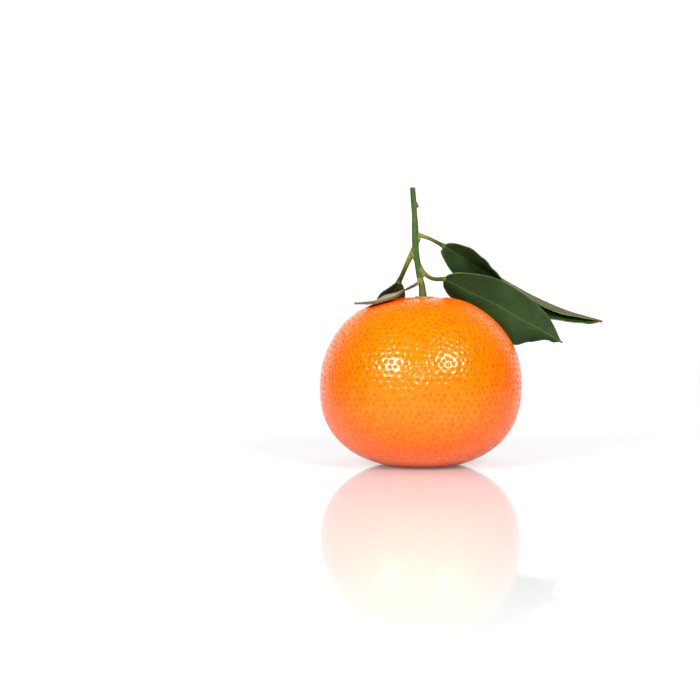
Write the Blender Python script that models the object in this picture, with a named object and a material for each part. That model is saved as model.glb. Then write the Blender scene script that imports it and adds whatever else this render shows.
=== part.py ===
# Mandarin standing on its flattened base, with the dry button, the leafy twig and four leaf blades.
# Metres, +Z up, front towards -Y. The origin is the middle of the flat spot that the fruit rests on.

import math

import bmesh
import bpy
from mathutils import Vector

MM = 0.001

# Fruit: size, height of its widest row, and how square its two halves are (2 is an ellipse)
FRUIT_WIDTH = 64.0 * MM
FRUIT_HEIGHT = 53.5 * MM
GIRTH_HEIGHT = 24.9 * MM
SHOULDER_FULLNESS = 2.15
BASE_FULLNESS = 2.35
REST_RADIUS = 11.0 * MM
STEM_OFFSET = 1.0 * MM
OVALNESS = 0.004

# Stem end: the seat under the button and the furrows that run out from it; pairs are the radii
# (or shares of the height) between which a form fades in or out
SEAT_DEPTH = 0.6 * MM
SEAT_RISE = (2.3 * MM, 6.7 * MM)
FURROW_COUNT = 10
FURROW_DEPTH = 0.35 * MM
FURROW_START = (2.9 * MM, 6.3 * MM)
FURROW_END = (6.7 * MM, 17.0 * MM)
STEM_END_BAND = (0.5, 0.8)

# Full shoulders: direction around in degrees from +X, lift, and the reaches from the stem end over
# which it sets in and dies away, in millimetres; the lift sets in over a band of the height
SHOULDER_BAND = (0.4, 0.6)
FULL_SHOULDERS = [
    (180.0, 1.0, (8.0, 22.0), (24.0, 32.0)),
    (0.0, 0.5, (5.0, 12.0), (15.0, 23.0)),
]

# How finely the fruit is divided around and up
FRUIT_SEGMENTS = 72
BASE_RINGS = 13
SHOULDER_RINGS = 24

# Gap that neighbouring pieces keep
CLEARANCE = 0.3 * MM

# How finely a smooth line is followed, and over what reach its direction is taken
SPOTS_PER_SPAN = 24
DIRECTION_REACH = 0.4 * MM

# Button: the dry calyx, a thin disc with five blunt lobes
BUTTON_RADIUS = 2.8 * MM
BUTTON_LOBE = 0.35 * MM
BUTTON_LOBES = 5
BUTTON_EDGE = 0.5 * MM
BUTTON_CROWN = 0.12 * MM
BUTTON_SEGMENTS = 40

# Rings of the button from its middle out: share of its radius, and height over its edge in millimetres
BUTTON_RINGS = [(0.45, 0.1), (0.8, 0.04), (1.0, 0.0)]

# Twig: centre line in millimetres from the button up, and its radius at each of those points
TWIG_LINE = [
    (0.72, 0.0, 54.12), (0.6, 0.1, 56.4), (-0.1, 0.2, 59.3), (-0.7, 0.1, 63.0),
    (-1.4, -0.1, 67.5), (-1.6, 0.0, 72.0), (-1.7, 0.3, 76.5), (-2.1, 0.4, 82.5), (-2.5, 0.3, 87.9),
]
TWIG_RADII = [1.15, 1.0, 1.0, 1.0, 1.1, 1.05, 0.86, 0.9, 0.84]
TWIG_STEPS = 32
TWIG_SIDES = 12
TWIG_RIDGE = 0.05

# Leaf stalks: centre lines in millimetres from inside the twig out to the joint with the blade,
# and their radii at even steps from the twig to that joint
STALKS = {
    "upper_right": [(-1.2, 0.0, 73.0), (0.6, 0.0, 72.5), (3.1, 0.8, 71.6), (5.3, 1.8, 70.5), (7.4, 3.0, 69.4)],
    "lower_right": [(-0.75, 0.1, 63.6), (1.0, 0.2, 61.0), (2.8, 1.2, 59.5), (5.0, 2.6, 58.8), (7.7, 4.0, 58.8)],
    "back_left": [(-1.7, 0.0, 68.8), (-3.1, 0.6, 66.1), (-4.6, 2.2, 62.7), (-5.7, 4.4, 60.0), (-6.6, 6.5, 58.0)],
    "front_left": [(0.2, 0.0, 59.0), (-0.9, -0.8, 57.6), (-2.2, -1.3, 56.8), (-3.6, -1.6, 56.1), (-5.1, -1.9, 55.4)],
}
STALK_RADII = {
    "upper_right": [0.85, 0.62, 0.56, 0.62, 0.74],
    "lower_right": [0.9, 0.72, 0.64, 0.64, 0.72],
    "back_left": [1.0, 0.84, 0.76, 0.74, 0.82],
    "front_left": [0.75, 0.56, 0.5, 0.45, 0.36],
}
STALK_STEPS = 16
STALK_SIDES = 10

# Buds in the leaf axils and the scar of a fallen leaf: centre, radius and length in millimetres
BUDS = [
    ((-0.5, -0.35, 71.4), 0.55, 1.0),
    ((1.0, 0.0, 60.3), 0.45, 0.85),
    ((-2.2, -0.3, 66.0), 0.5, 1.0),
    ((-0.5, -0.6, 58.6), 0.5, 0.9),
]
SCAR_CENTRE = (-1.65, 0.3, 82.7)
SCAR_RADII = [0.3, 0.75, 0.88]
SCAR_HEIGHT = 2.6
SCAR_LEAN = 0.75
SCAR_STEPS = 8

# Leaf blades: thickness, midrib thickness at the joint (for each bit of the stalk's radius) and at
# the tip, width of the midrib and of the blunt tip, and how the section is divided and how soon
# each division has turned into the fold
BLADE_THICKNESS = 0.64 * MM
RIB_TO_STALK = 1.75
RIB_AT_TIP = 0.66 * MM
RIB_HALF_WIDTH = 0.7 * MM
RIB_GROOVE = 0.08 * MM
TIP_HALF_WIDTH = 0.25 * MM
LOBE_REACH = 0.06
COLUMNS = [0.0, 0.1, 0.25, 0.44, 0.64, 0.83, 1.0]
CREASED = [0.0, 0.45, 0.85, 1.0, 1.0, 1.0, 1.0]
CURLED = [0.1, 0.3, 0.5, 0.7, 0.9, 1.1, 1.2]
FLAT = [1.0, 1.0, 1.0, 1.0, 1.0, 1.0, 1.0]

# Each blade: midrib line in millimetres from its stalk, half widths of the left and right side as
# seen from the front on the way to the tip, powers of their outlines at the joint and at the tip (a
# small power is blunt), how late the outline comes to its point, how far the lobes reach back past
# the joint, how far each half turns to the front in degrees at even steps from joint to tip and
# whether that is a crease at the midrib or a curl, and the waves of the margin
BLADES = {
    "upper_right": {
        "midrib": [(13.0, 9.5, 66.2), (19.9, 16.5, 61.6), (28.5, 21.5, 56.6), (37.1, 23.5, 52.25),
                   (49.8, 24.2, 47.2), (60.7, 22.6, 44.5)],
        "half_widths": (8.0, 8.0), "outlines": ((0.6, 0.75), (0.55, 0.68)), "pointing": 30, "lobes": (0.5, 1.4),
        "left_turn": [25, 45, 65, 81, 94, 100, 106, 111, 114, 108, 92],
        "right_turn": [5, 4, 4, 6, 12, 25, 42, 56, 62, 63, 10],
        "bending": CREASED, "wave": 0.25, "waves": 3.0, "stations": 30,
    },
    "lower_right": {
        "midrib": [(9.9, 5.4, 57.8), (15.3, 9.0, 54.9), (21.4, 11.5, 52.3), (32.1, 13.0, 46.3),
                   (41.3, 13.0, 41.3), (46.5, 12.0, 38.1)],
        "half_widths": (7.8, 9.8), "outlines": ((0.56, 0.6), (0.74, 0.7)), "pointing": 11, "lobes": (0.4, 0.4),
        "left_turn": [14, 14, 14, 14, 13, 12, 10, 8, 6, 5, 5],
        "right_turn": [-20, -62, -66, -60, -54, -46, -26, -8, -48, -77, 0],
        "bending": CURLED, "wave": 0.25, "waves": 3.5, "stations": 30,
    },
    "back_left": {
        "midrib": [(-7.9, 13.5, 54.6), (-9.6, 21.0, 50.9), (-11.0, 27.6, 45.0), (-11.9, 32.0, 38.0),
                   (-12.4, 34.2, 31.0)],
        "half_widths": (4.4, 4.2), "outlines": ((0.42, 0.6), (0.65, 0.6)), "pointing": 12, "lobes": (0.4, 0.0),
        "left_turn": [16, 8, 6, 6, 6, 6],
        "right_turn": [20, 12, 8, 8, 8, 8],
        "bending": CREASED, "wave": 0.25, "waves": 2.5, "stations": 24,
    },
    "front_left": {
        "midrib": [(-9.1, -3.2, 53.7), (-12.9, -4.6, 52.2), (-16.9, -5.8, 51.5), (-20.9, -6.6, 51.3)],
        "half_widths": (4.2, 4.4), "outlines": ((0.6, 1.0), (0.6, 1.0)), "pointing": 12, "lobes": (0.0, 0.0),
        "left_turn": [-92, -97, -92, -90],
        "right_turn": [92, 97, 92, 90],
        "bending": FLAT, "wave": 0.15, "waves": 2.0, "stations": 16,
    },
}

# Edges sharper than this stay crisp
SHARP_ANGLE = math.radians(45.0)

# Finish of each piece: colour, roughness
PEEL_FINISH = ((1.0, 0.27, 0.0), 0.38)
BUTTON_FINISH = ((0.42, 0.25, 0.04), 0.7)
TWIG_FINISH = ((0.11, 0.22, 0.04), 0.55)
LEAF_FINISH = ((0.035, 0.085, 0.02), 0.42)


def clear_scene():
    for thing in list(bpy.data.objects):
        bpy.data.objects.remove(thing, do_unlink=True)


def make_material(name, finish):
    colour, roughness = finish
    material = bpy.data.materials.new(name)
    material.use_nodes = True
    shader = material.node_tree.nodes["Principled BSDF"]
    shader.inputs["Base Color"].default_value = (*colour, 1.0)
    shader.inputs["Roughness"].default_value = roughness
    shader.inputs["Metallic"].default_value = 0.0
    return material


def make_object(name, bm, material):
    bmesh.ops.recalc_face_normals(bm, faces=bm.faces)
    mesh = bpy.data.meshes.new(name)
    bm.to_mesh(mesh)
    bm.free()
    mesh.materials.append(material)
    mesh.shade_smooth()
    mesh.set_sharp_from_angle(angle=SHARP_ANGLE)
    piece = bpy.data.objects.new(name, mesh)
    bpy.context.scene.collection.objects.link(piece)
    return piece


def fade(value, start, end):
    share = min(max((value - start) / (end - start), 0.0), 1.0)
    return share * share * (3.0 - 2.0 * share)


# Curves through hand-set points

def slope_at(points, index):
    """Direction of the curve at one of its points; the shorter neighbouring span counts more."""
    if index == 0:
        return (points[1] - points[0]).normalized()
    if index == len(points) - 1:
        return (points[-1] - points[-2]).normalized()
    before = points[index] - points[index - 1]
    after = points[index + 1] - points[index]
    weighted = before.normalized() * after.length + after.normalized() * before.length
    return weighted / (before.length + after.length)


def curve_point(points, position):
    """Point on a smooth curve through the points; position counts points from the first."""
    index = min(int(position), len(points) - 2)
    part = position - index
    start = points[index]
    end = points[index + 1]
    span = (end - start).length
    bend = fade(part, 0.0, 1.0)
    leaving = slope_at(points, index) * span * part * (1.0 - part) ** 2
    arriving = slope_at(points, index + 1) * span * part ** 2 * (1.0 - part)
    return start + (end - start) * bend + leaving - arriving


def curve_length_table(points):
    """Close spots along the curve and how far each of them is from its start."""
    count = (len(points) - 1) * SPOTS_PER_SPAN
    spots = [curve_point(points, step / SPOTS_PER_SPAN) for step in range(count + 1)]
    run = [0.0]
    for before, after in zip(spots, spots[1:]):
        run.append(run[-1] + (after - before).length)
    return spots, run


def point_at(spots, run, distance):
    index = 1
    while index < len(run) - 1 and run[index] < distance:
        index += 1
    part = (distance - run[index - 1]) / (run[index] - run[index - 1])
    return spots[index - 1].lerp(spots[index], part)


def direction_at(spots, run, distance):
    ahead = point_at(spots, run, min(distance + DIRECTION_REACH, run[-1]))
    behind = point_at(spots, run, max(distance - DIRECTION_REACH, 0.0))
    return (ahead - behind).normalized()


def leaf_line(name):
    """One smooth line for a leaf's stalk and midrib, and the distance at which they meet."""
    points = [Vector(point) * MM for point in STALKS[name] + BLADES[name]["midrib"]]
    spots, run = curve_length_table(points)
    return spots, run, run[(len(STALKS[name]) - 1) * SPOTS_PER_SPAN]


def step_value(values, share):
    """Value at a share of the way along evenly spaced values, eased between them."""
    position = share * (len(values) - 1)
    index = min(int(position), len(values) - 2)
    return values[index] + (values[index + 1] - values[index]) * fade(position - index, 0.0, 1.0)


# Fruit

def fruit_profile():
    """Radius and height from the rim of the flat spot up to the stem end."""
    half = FRUIT_WIDTH / 2
    sunk = (1.0 - (REST_RADIUS / half) ** BASE_FULLNESS) ** (1.0 / BASE_FULLNESS)
    base_drop = GIRTH_HEIGHT / sunk
    rise = FRUIT_HEIGHT - GIRTH_HEIGHT
    start = math.asin(sunk ** (BASE_FULLNESS / 2.0))
    profile = []
    for ring in range(BASE_RINGS):
        angle = start * (1.0 - ring / BASE_RINGS)
        radius = half * math.cos(angle) ** (2.0 / BASE_FULLNESS)
        height = GIRTH_HEIGHT - base_drop * math.sin(angle) ** (2.0 / BASE_FULLNESS)
        profile.append((radius, height))
    for ring in range(SHOULDER_RINGS):
        angle = math.pi / 2 * ring / SHOULDER_RINGS
        radius = half * math.cos(angle) ** (2.0 / SHOULDER_FULLNESS)
        height = GIRTH_HEIGHT + rise * math.sin(angle) ** (2.0 / SHOULDER_FULLNESS)
        profile.append((radius, height))
    profile.append((0.0, FRUIT_HEIGHT))
    profile[0] = (REST_RADIUS, 0.0)
    return profile


def seat_drop(radius):
    return SEAT_DEPTH * (1.0 - fade(radius, *SEAT_RISE))


def furrow_drop(radius, around):
    """Furrows run out from the stem end, not quite evenly spaced."""
    band = fade(radius, *FURROW_START) * (1.0 - fade(radius, *FURROW_END))
    wave = 0.5 + 0.5 * math.cos(FURROW_COUNT * around + 0.6 * math.sin(2.0 * around))
    return FURROW_DEPTH * band * wave ** 1.5


def shoulder_lift(radius, around):
    """Both shoulders stand full, the left one further out and higher than the right one."""
    lift = 0.0
    for direction, height, start, end in FULL_SHOULDERS:
        facing = (0.5 + 0.5 * math.cos(around - math.radians(direction))) ** 1.5
        reach = radius / MM
        lift += height * MM * facing * fade(reach, *start) * (1.0 - fade(reach, *end))
    return lift


def shape_peel(point):
    """Give the turned shape its oval girth, its shoulders, its furrows and the button's seat."""
    radius = math.hypot(point.x, point.y)
    around = math.atan2(point.y, point.x)
    up = point.z / FRUIT_HEIGHT
    swell = 1.0 + OVALNESS * math.cos(2.0 * around + 0.9) + 0.5 * OVALNESS * math.cos(3.0 * around - 0.4)
    drop = (seat_drop(radius) + furrow_drop(radius, around)) * fade(up, *STEM_END_BAND)
    lift = shoulder_lift(radius, around) * fade(up, *SHOULDER_BAND)
    return Vector((point.x * swell + STEM_OFFSET * up ** 3, point.y * swell, point.z - drop + lift))


def build_fruit():
    bm = bmesh.new()
    ring = [bm.verts.new((radius, 0.0, height)) for radius, height in fruit_profile()]
    edges = [bm.edges.new(pair) for pair in zip(ring, ring[1:])]
    bmesh.ops.spin(
        bm, geom=ring + edges, cent=(0, 0, 0), axis=(0, 0, 1),
        angle=math.tau, steps=FRUIT_SEGMENTS, use_merge=True)
    bmesh.ops.remove_doubles(bm, verts=bm.verts, dist=0.002 * MM)
    rim = [edge for edge in bm.edges if edge.is_boundary]
    bmesh.ops.contextual_create(bm, geom=rim)
    for vertex in bm.verts:
        vertex.co = shape_peel(vertex.co)
    return make_object("fruit", bm, make_material("peel", PEEL_FINISH))


# Button

def build_button():
    """Thin lobed disc; its underside follows the seat, a clearance above it."""
    bm = bmesh.new()
    top = []
    bottom = []
    for share, crown in BUTTON_RINGS:
        upper_ring = []
        lower_ring = []
        for step in range(BUTTON_SEGMENTS):
            around = math.tau * step / BUTTON_SEGMENTS
            lobe = BUTTON_LOBE * math.cos(BUTTON_LOBES * around + 0.5) * share ** 2
            radius = BUTTON_RADIUS * share + lobe
            x = STEM_OFFSET + radius * math.cos(around)
            y = radius * math.sin(around)
            base = FRUIT_HEIGHT - seat_drop(radius) + CLEARANCE
            lower_ring.append(bm.verts.new((x, y, base)))
            upper_ring.append(bm.verts.new((x, y, base + BUTTON_EDGE + crown * MM)))
        top.append(upper_ring)
        bottom.append(lower_ring)
    centre = FRUIT_HEIGHT - SEAT_DEPTH + CLEARANCE
    top_middle = bm.verts.new((STEM_OFFSET, 0.0, centre + BUTTON_EDGE + BUTTON_CROWN))
    bottom_middle = bm.verts.new((STEM_OFFSET, 0.0, centre))
    for step in range(BUTTON_SEGMENTS):
        following = (step + 1) % BUTTON_SEGMENTS
        bm.faces.new((top[0][step], top[0][following], top_middle))
        bm.faces.new((bottom[0][following], bottom[0][step], bottom_middle))
        bm.faces.new((top[-1][step], bottom[-1][step], bottom[-1][following], top[-1][following]))
        for inner, outer in zip(top, top[1:]):
            bm.faces.new((inner[step], outer[step], outer[following], inner[following]))
        for inner, outer in zip(bottom, bottom[1:]):
            bm.faces.new((inner[following], outer[following], outer[step], inner[step]))
    return make_object("calyx", bm, make_material("dry_calyx", BUTTON_FINISH))


# Twig, stalks and buds, fused into one grown shoot

def side_axes(direction):
    across = direction.cross(Vector((0, 1, 0))).normalized()
    return across, direction.cross(across).normalized()


def tube(spots, run, length, radii, steps, sides, ridge=0.0):
    """Closed tube along the first length of a smooth line; ridge makes it slightly angular."""
    bm = bmesh.new()
    rings = []
    for step in range(steps + 1):
        distance = length * step / steps
        centre = point_at(spots, run, distance)
        across, back = side_axes(direction_at(spots, run, distance))
        radius = step_value(radii, step / steps) * MM
        ring = []
        for side in range(sides):
            angle = math.tau * side / sides
            reach = radius * (1.0 + ridge * math.cos(3.0 * angle + step / steps))
            ring.append(bm.verts.new(centre + across * reach * math.cos(angle) + back * reach * math.sin(angle)))
        rings.append(ring)
    for lower, upper in zip(rings, rings[1:]):
        for side in range(sides):
            following = (side + 1) % sides
            bm.faces.new((lower[side], lower[following], upper[following], upper[side]))
    bm.faces.new(list(reversed(rings[0])))
    bm.faces.new(rings[-1])
    return bm


def bud(centre, radius, length):
    """Small pointed bud, tip towards the fruit."""
    bm = bmesh.new()
    bmesh.ops.create_uvsphere(bm, u_segments=10, v_segments=8, radius=radius * MM)
    for vertex in bm.verts:
        below = max(-vertex.co.z / (radius * MM), 0.0)
        vertex.co.z *= length / radius
        vertex.co.x *= 1.0 - 0.35 * below
        vertex.co.y *= 1.0 - 0.35 * below
        vertex.co += Vector(centre) * MM
    return bm


def leaf_scar():
    """Shoulder left by a fallen leaf: it swells out downwards and ends in a flat scar."""
    centre = Vector(SCAR_CENTRE) * MM
    half = Vector((SCAR_LEAN, 0.0, -SCAR_HEIGHT)) * MM / 2
    spots, run = curve_length_table([centre - half, centre, centre + half])
    return tube(spots, run, run[-1], SCAR_RADII, SCAR_STEPS, STALK_SIDES)


def stalk(name):
    """Stalk of a leaf; it stops half the clearance short of the joint with its blade."""
    spots, run, joint = leaf_line(name)
    return tube(spots, run, joint - CLEARANCE / 2, STALK_RADII[name], STALK_STEPS, STALK_SIDES)


def stem():
    spots, run = curve_length_table([Vector(point) * MM for point in TWIG_LINE])
    return tube(spots, run, run[-1], TWIG_RADII, TWIG_STEPS, TWIG_SIDES, TWIG_RIDGE)


def build_twig():
    shoots = bpy.data.collections.new("stalks_and_buds")
    bpy.context.scene.collection.children.link(shoots)
    material = make_material("green_bark", TWIG_FINISH)
    twig = make_object("twig", stem(), material)
    grown = [stalk(name) for name in STALKS] + [bud(*measures) for measures in BUDS] + [leaf_scar()]
    for index, bm in enumerate(grown):
        shoot = make_object(f"shoot_{index}", bm, material)
        bpy.context.scene.collection.objects.unlink(shoot)
        shoots.objects.link(shoot)
    union = twig.modifiers.new("fuse", "BOOLEAN")
    union.operation = "UNION"
    union.solver = "EXACT"
    union.operand_type = "COLLECTION"
    union.collection = shoots
    bpy.context.view_layer.objects.active = twig
    bpy.ops.object.modifier_apply(modifier=union.name)
    for shoot in list(shoots.objects):
        bpy.data.objects.remove(shoot, do_unlink=True)
    bpy.data.collections.remove(shoots)
    return twig


# Leaf blades

def half_width_share(share, base_power, tip_power, pointing):
    """Outline of a blade from joint to tip, 1 where it is widest."""
    if share <= 0.0 or share >= 1.0:
        return 0.0
    widest = base_power / (base_power + tip_power)
    width = (share / widest) ** base_power * ((1.0 - share) / (1.0 - widest)) ** tip_power
    return width * (1.0 - share ** pointing)


def half_section(side, width, turn, bending, out, front):
    """Middle line of one half of a blade's section: places and normals from rib to margin."""
    place = Vector((0.0, 0.0, 0.0))
    section = []
    for index in range(1, len(COLUMNS)):
        angle = math.radians(turn * (bending[index - 1] + bending[index]) / 2)
        direction = out * side * math.cos(angle) + front * math.sin(angle)
        normal = front * math.cos(angle) - out * side * math.sin(angle)
        place = place + direction * width * (COLUMNS[index] - COLUMNS[index - 1])
        section.append((place, normal))
    return section


def blade_station(leaf, share, centre, travel):
    """Top and bottom points of one section across a blade, from its left margin to its right."""
    front = Vector((0, -1, 0))
    front = (front - travel * front.dot(travel)).normalized()
    out = front.cross(travel).normalized()
    stalk_radius = STALK_RADII[leaf["name"]][-1] * MM
    narrowest = step_value([stalk_radius, TIP_HALF_WIDTH], share)
    halves = []
    for index, side in enumerate((1, -1)):
        outline = half_width_share(share, *leaf["outlines"][index], leaf["pointing"])
        width = max(leaf["half_widths"][index] * MM * outline, narrowest)
        turn = step_value(leaf[("left_turn", "right_turn")[index]], share)
        wave = leaf["wave"] * MM * math.sin(math.tau * leaf["waves"] * share + side) * math.sin(math.pi * share)
        lobe = leaf["lobes"][index] * MM * (1.0 - fade(share, 0.0, LOBE_REACH * 3)) * fade(share, 0.0, LOBE_REACH / 3)
        section = half_section(side, width, turn, leaf["bending"], out, front)
        halves.append([
            (place + normal * wave * reach ** 2 - travel * lobe * reach ** 1.5, normal, width * reach)
            for (place, normal), reach in zip(section, COLUMNS[1:])])
    rib_normal = (halves[0][0][1] + halves[1][0][1]).normalized()
    row = list(reversed(halves[0])) + [(Vector((0, 0, 0)), rib_normal, 0.0)] + halves[1]
    rib = step_value([stalk_radius * RIB_TO_STALK, RIB_AT_TIP], share)
    top = []
    bottom = []
    for place, normal, distance in row:
        nearness = math.exp(-(distance / RIB_HALF_WIDTH) ** 2)
        top.append(centre + place + normal * (BLADE_THICKNESS / 2 - RIB_GROOVE * nearness))
        bottom.append(centre + place - normal * (BLADE_THICKNESS / 2 + (rib - BLADE_THICKNESS) * nearness))
    return top, bottom


def blade_sections(name):
    """Sections of a blade from half the clearance past its joint to its tip, closest at both ends."""
    leaf = dict(BLADES[name], name=name)
    spots, run, joint = leaf_line(name)
    start = joint + CLEARANCE / 2
    sections = []
    for station in range(leaf["stations"] + 1):
        share = 0.5 - 0.5 * math.cos(math.pi * station / leaf["stations"])
        distance = start + (run[-1] - start) * share
        sections.append(blade_station(
            leaf, share, point_at(spots, run, distance), direction_at(spots, run, distance)))
    return sections


def build_blade(name):
    """Join the sections into one closed sheet, split alike on both faces."""
    bm = bmesh.new()
    top = []
    bottom = []
    for upper_points, lower_points in blade_sections(name):
        top.append([bm.verts.new(point) for point in upper_points])
        bottom.append([bm.verts.new(point) for point in lower_points])
    last = len(top[0]) - 1
    for row in range(len(top) - 1):
        for column in range(last):
            for grid, flip in ((top, False), (bottom, True)):
                a = grid[row][column]
                b = grid[row][column + 1]
                c = grid[row + 1][column + 1]
                d = grid[row + 1][column]
                for corners in ((a, b, c), (a, c, d)):
                    bm.faces.new(tuple(reversed(corners)) if flip else corners)
        for column in (0, last):
            bm.faces.new((top[row][column], top[row + 1][column], bottom[row + 1][column], bottom[row][column]))
    for row in (0, len(top) - 1):
        for column in range(last):
            bm.faces.new((top[row][column], top[row][column + 1], bottom[row][column + 1], bottom[row][column]))
    return make_object(f"leaf_{name}", bm, make_material(f"leaf_{name}", LEAF_FINISH))


def main():
    clear_scene()
    build_fruit()
    build_button()
    build_twig()
    for name in BLADES:
        build_blade(name)


main()
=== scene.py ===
import math
import random

import bpy
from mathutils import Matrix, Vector, noise
from mathutils.kdtree import KDTree


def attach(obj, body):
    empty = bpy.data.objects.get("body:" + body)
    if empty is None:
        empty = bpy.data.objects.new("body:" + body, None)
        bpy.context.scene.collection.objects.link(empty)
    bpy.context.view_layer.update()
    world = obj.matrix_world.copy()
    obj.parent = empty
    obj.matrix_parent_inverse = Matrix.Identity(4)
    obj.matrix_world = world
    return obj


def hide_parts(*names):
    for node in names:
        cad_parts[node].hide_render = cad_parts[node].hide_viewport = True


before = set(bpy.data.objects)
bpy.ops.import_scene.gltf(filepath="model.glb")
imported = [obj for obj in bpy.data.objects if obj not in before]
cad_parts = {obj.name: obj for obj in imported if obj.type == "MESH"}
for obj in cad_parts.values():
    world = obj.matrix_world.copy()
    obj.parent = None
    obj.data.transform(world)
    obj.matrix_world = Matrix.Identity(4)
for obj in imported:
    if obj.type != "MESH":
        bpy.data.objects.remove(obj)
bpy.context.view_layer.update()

mm = 0.001
weldGap = 0.002 * mm             # vertices that are closer become one
white = (1.0, 1.0, 1.0, 1.0)


# small helpers for objects

def deselectAll():
    bpy.ops.object.select_all(action="DESELECT")


def pick(piece):
    deselectAll()
    piece.select_set(True)
    bpy.context.view_layer.objects.active = piece


def applyModifier(piece, modifier):
    pick(piece)
    bpy.ops.object.modifier_apply(modifier=modifier.name)


def smoothPiece(piece, levels):
    smooth = piece.modifiers.new("smooth", "SUBSURF")
    smooth.levels = levels
    smooth.render_levels = levels
    applyModifier(piece, smooth)


def mergedCopy(node, name):
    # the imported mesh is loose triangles, so a copy of it is welded and turned back to quads
    piece = bpy.data.objects.new(name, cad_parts[node].data.copy())
    bpy.context.scene.collection.objects.link(piece)
    pick(piece)
    piece.data.materials.clear()
    bpy.ops.mesh.customdata_custom_splitnormals_clear()
    bpy.ops.object.mode_set(mode="EDIT")
    bpy.ops.mesh.select_all(action="SELECT")
    bpy.ops.mesh.remove_doubles(threshold=weldGap)
    bpy.ops.mesh.tris_convert_to_quads()
    bpy.ops.mesh.normals_make_consistent(inside=False)
    bpy.ops.object.mode_set(mode="OBJECT")
    return piece


def writeAttribute(piece, name, values):
    layer = piece.data.attributes.new(name, "FLOAT", "POINT")
    layer.data.foreach_set("value", values)


def treeOf(places):
    # finds the nearest of many places quickly
    tree = KDTree(len(places))
    for index, place in enumerate(places):
        tree.insert(place, index)
    tree.balance()
    return tree


def finishPiece(piece, node):
    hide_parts(node)
    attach(piece, "root")


def fade(value, start, end):
    share = min(max((value - start) / (end - start), 0.0), 1.0)
    return share * share * (3.0 - 2.0 * share)


# small helpers for materials

def newMaterial(name):
    material = bpy.data.materials.new(name)
    material.use_nodes = True
    return material, material.node_tree.nodes["Principled BSDF"]


def addNode(material, kind, inputs=None, **settings):
    made = material.node_tree.nodes.new(kind)
    for key, value in settings.items():
        setattr(made, key, value)
    for key, value in (inputs or {}).items():
        if isinstance(value, bpy.types.NodeSocket):
            material.node_tree.links.new(value, made.inputs[key])
        else:
            made.inputs[key].default_value = value
    return made


def joinSocket(material, output, socket):
    material.node_tree.links.new(output, socket)


def objectCoords(material):
    return addNode(material, "ShaderNodeTexCoord").outputs["Object"]


def attribute(material, name):
    return addNode(material, "ShaderNodeAttribute", attribute_name=name).outputs["Fac"]


def noiseValue(material, coords, scale, detail=3.0, roughness=0.5):
    made = addNode(material, "ShaderNodeTexNoise", {"Vector": coords, "Scale": scale, "Detail": detail,
                                                    "Roughness": roughness})
    return made.outputs["Fac"]


def stretched(material, coords, scale):
    return addNode(material, "ShaderNodeMapping", {"Vector": coords, "Scale": scale}).outputs["Vector"]


def between(material, value, start, end, low=0.0, high=1.0):
    made = addNode(material, "ShaderNodeMapRange", {"Value": value, "From Min": start, "From Max": end,
                                                    "To Min": low, "To Max": high},
                   interpolation_type="SMOOTHSTEP")
    return made.outputs["Result"]


def maths(material, operation, first, second=0.0):
    return addNode(material, "ShaderNodeMath", {0: first, 1: second}, operation=operation).outputs[0]


def strengthOf(material, value, band):
    # rises from nothing to the band's third number between its first two
    start, end, strongest = band
    return between(material, value, start, end, 0.0, strongest)


def mixColour(material, factor, first, second):
    # sockets 0, 6 and 7 of this node are the factor and the two colours, and output 2 is the mixed one
    made = addNode(material, "ShaderNodeMix", data_type="RGBA")
    for index, value in ((0, factor), (6, first), (7, second)):
        if isinstance(value, bpy.types.NodeSocket):
            material.node_tree.links.new(value, made.inputs[index])
        elif index == 0:
            made.inputs[index].default_value = value
        else:
            made.inputs[index].default_value = (*value, 1.0)
    return made.outputs[2]


def turnedAway(material):
    # 0 where a surface faces the viewer, 1 where it is seen from its edge
    return addNode(material, "ShaderNodeLayerWeight", {"Blend": 0.5}).outputs["Facing"]


def bump(material, shader, height, strength, distance):
    # the "relief" of each piece holds its strength and distance
    made = addNode(material, "ShaderNodeBump", {"Height": height, "Strength": strength, "Distance": distance})
    joinSocket(material, made.outputs["Normal"], shader.inputs["Normal"])


# studio

studio = {
    # in metres and watts, the lens and the sensor in mm
    "cameraPlace": (-0.0223, -0.6163, 0.0700), "cameraAim": (-0.0223, 0.0, 0.0364),
    "lens": 100.0, "sensorWidth": 36.0, "clipStart": 0.01,
    "keyLeft": (-0.50, -0.66, 0.46), "keyRight": (0.44, -0.69, 0.53), "keySize": 0.26, "keyPower": 8.4,
    "topPlace": (0.0, 0.05, 0.95), "topSize": 0.9, "topPower": 3.9,
    "fillPlace": (-0.09, -1.1, 0.30), "fillSize": 0.13, "fillPower": 2.6,
    "lightAim": (0.0, 0.0, 0.03),
    "surroundings": 1.1,         # light from the pale screen behind the fruit, and how bright it looks
    "roomBehindCamera": 0.05,    # light from the darker room on the camera's side and overhead
    "screenEdge": (0.4, 0.8),    # the screen fills the view beyond these shares of straight away
    "screenTop": (0.4, 0.75),    # and ends between these shares of straight up
    "floorSize": 8.0, "floorDrop": 0.05 * mm,
    "floorColour": (0.64, 0.64, 0.64), "floorRoughness": 0.05, "floorMirror": 0.45, "floorGlow": 0.08,
    "floorFade": (0.35, 0.9),    # the floor melts into the surroundings between these distances
}


def aimed(place, aim):
    return (Vector(aim) - Vector(place)).to_track_quat("-Z", "Y").to_euler()


def setCamera():
    place = studio["cameraPlace"]
    bpy.ops.object.camera_add(location=place, rotation=aimed(place, studio["cameraAim"]))
    camera = bpy.context.object
    camera.data.lens = studio["lens"]
    camera.data.sensor_width = studio["sensorWidth"]
    camera.data.clip_start = studio["clipStart"]
    bpy.context.scene.camera = camera


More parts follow.
